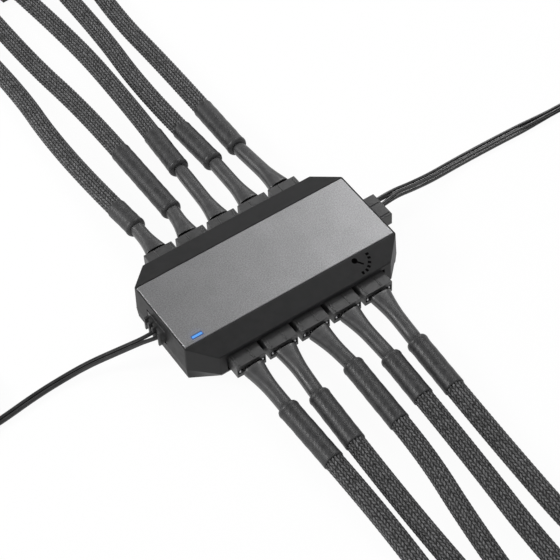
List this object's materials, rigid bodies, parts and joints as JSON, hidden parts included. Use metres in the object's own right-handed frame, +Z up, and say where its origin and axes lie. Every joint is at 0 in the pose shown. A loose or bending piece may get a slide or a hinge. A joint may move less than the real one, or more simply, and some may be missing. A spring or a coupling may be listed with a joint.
{
  "type": "pc fan controller hub",
  "caption": "Flat eight-sided fan hub with a metal plate, ports on all sides, sleeved fan leads plugged in, and a power and a signal lead.",
  "frame": {"origin": "centre of the hub's underside, on the face of its adhesive pad", "axes": "+X along the hub towards the power lead, -Y towards the front row of ports, +Z up through the plate"},
  "size_m": [0.2996, 0.3618, 0.0145],
  "materials": {
    "bead_blasted_plate": "fine bead-blasted matt grey",
    "housing_plastic": "matt black with a fine moulded grain",
    "board_laminate": "dark solder mask",
    "light_pipe": "blue translucent",
    "led_body": "milky",
    "chip_body": "black",
    "capacitor_can": "satin",
    "header_plastic": "black",
    "plated_pins": "tin plated",
    "screw_steel": "blackened",
    "foam_pad": "dense foam with adhesive",
    "plug_plastic": "dark grey, satin",
    "socket_plastic": "dark grey, satin",
    "heat_shrink": "satin black heat-shrink",
    "braided_sleeve": "black braid with pale flecks",
    "wire_insulation": "satin black"
  },
  "bodies": {
    "root": {"adhesive_pad": "foam_pad", "back_boot_1": "heat_shrink", "back_boot_2": "heat_shrink", "back_boot_3": "heat_shrink", "back_boot_4": "heat_shrink", "back_boot_5": "heat_shrink", "back_plug_1": "plug_plastic", "back_plug_2": "plug_plastic", "back_plug_3": "plug_plastic", "back_plug_4": "plug_plastic", "back_plug_5": "plug_plastic", "back_sleeve_1": "braided_sleeve", "back_sleeve_2": "braided_sleeve", "back_sleeve_3": "braided_sleeve", "back_sleeve_4": "braided_sleeve", "back_sleeve_5": "braided_sleeve", "back_socket_1": "socket_plastic", "back_socket_2": "socket_plastic", "back_socket_3": "socket_plastic", "back_socket_4": "socket_plastic", "back_socket_5": "socket_plastic", "base_screws": "screw_steel", "board_connector": "plug_plastic", "circuit_board": "board_laminate", "filter_capacitor": "capacitor_can", "front_boot_1": "heat_shrink", "front_boot_2": "heat_shrink", "front_boot_3": "heat_shrink", "front_boot_4": "heat_shrink", "front_boot_5": "heat_shrink", "front_plug_1": "plug_plastic", "front_plug_2": "plug_plastic", "front_plug_3": "plug_plastic", "front_plug_4": "plug_plastic", "front_plug_5": "plug_plastic", "front_sleeve_1": "braided_sleeve", "front_sleeve_2": "braided_sleeve", "front_sleeve_3": "braided_sleeve", "front_sleeve_4": "braided_sleeve", "front_sleeve_5": "braided_sleeve", "front_socket_1": "socket_plastic", "front_socket_2": "socket_plastic", "front_socket_3": "socket_plastic", "front_socket_4": "socket_plastic", "front_socket_5": "socket_plastic", "header_pins": "plated_pins", "led_resistor": "chip_body", "light_window": "light_pipe", "lower_shell": "housing_plastic", "port_headers": "header_plastic", "power_coil": "wire_insulation", "power_connector": "socket_plastic", "power_lead": "wire_insulation", "power_plug": "plug_plastic", "signal_coil": "wire_insulation", "signal_lead": "wire_insulation", "signal_plug": "plug_plastic", "status_led": "led_body", "top_plate": "bead_blasted_plate", "upper_shell": "housing_plastic"}
  },
  "joints": []
}
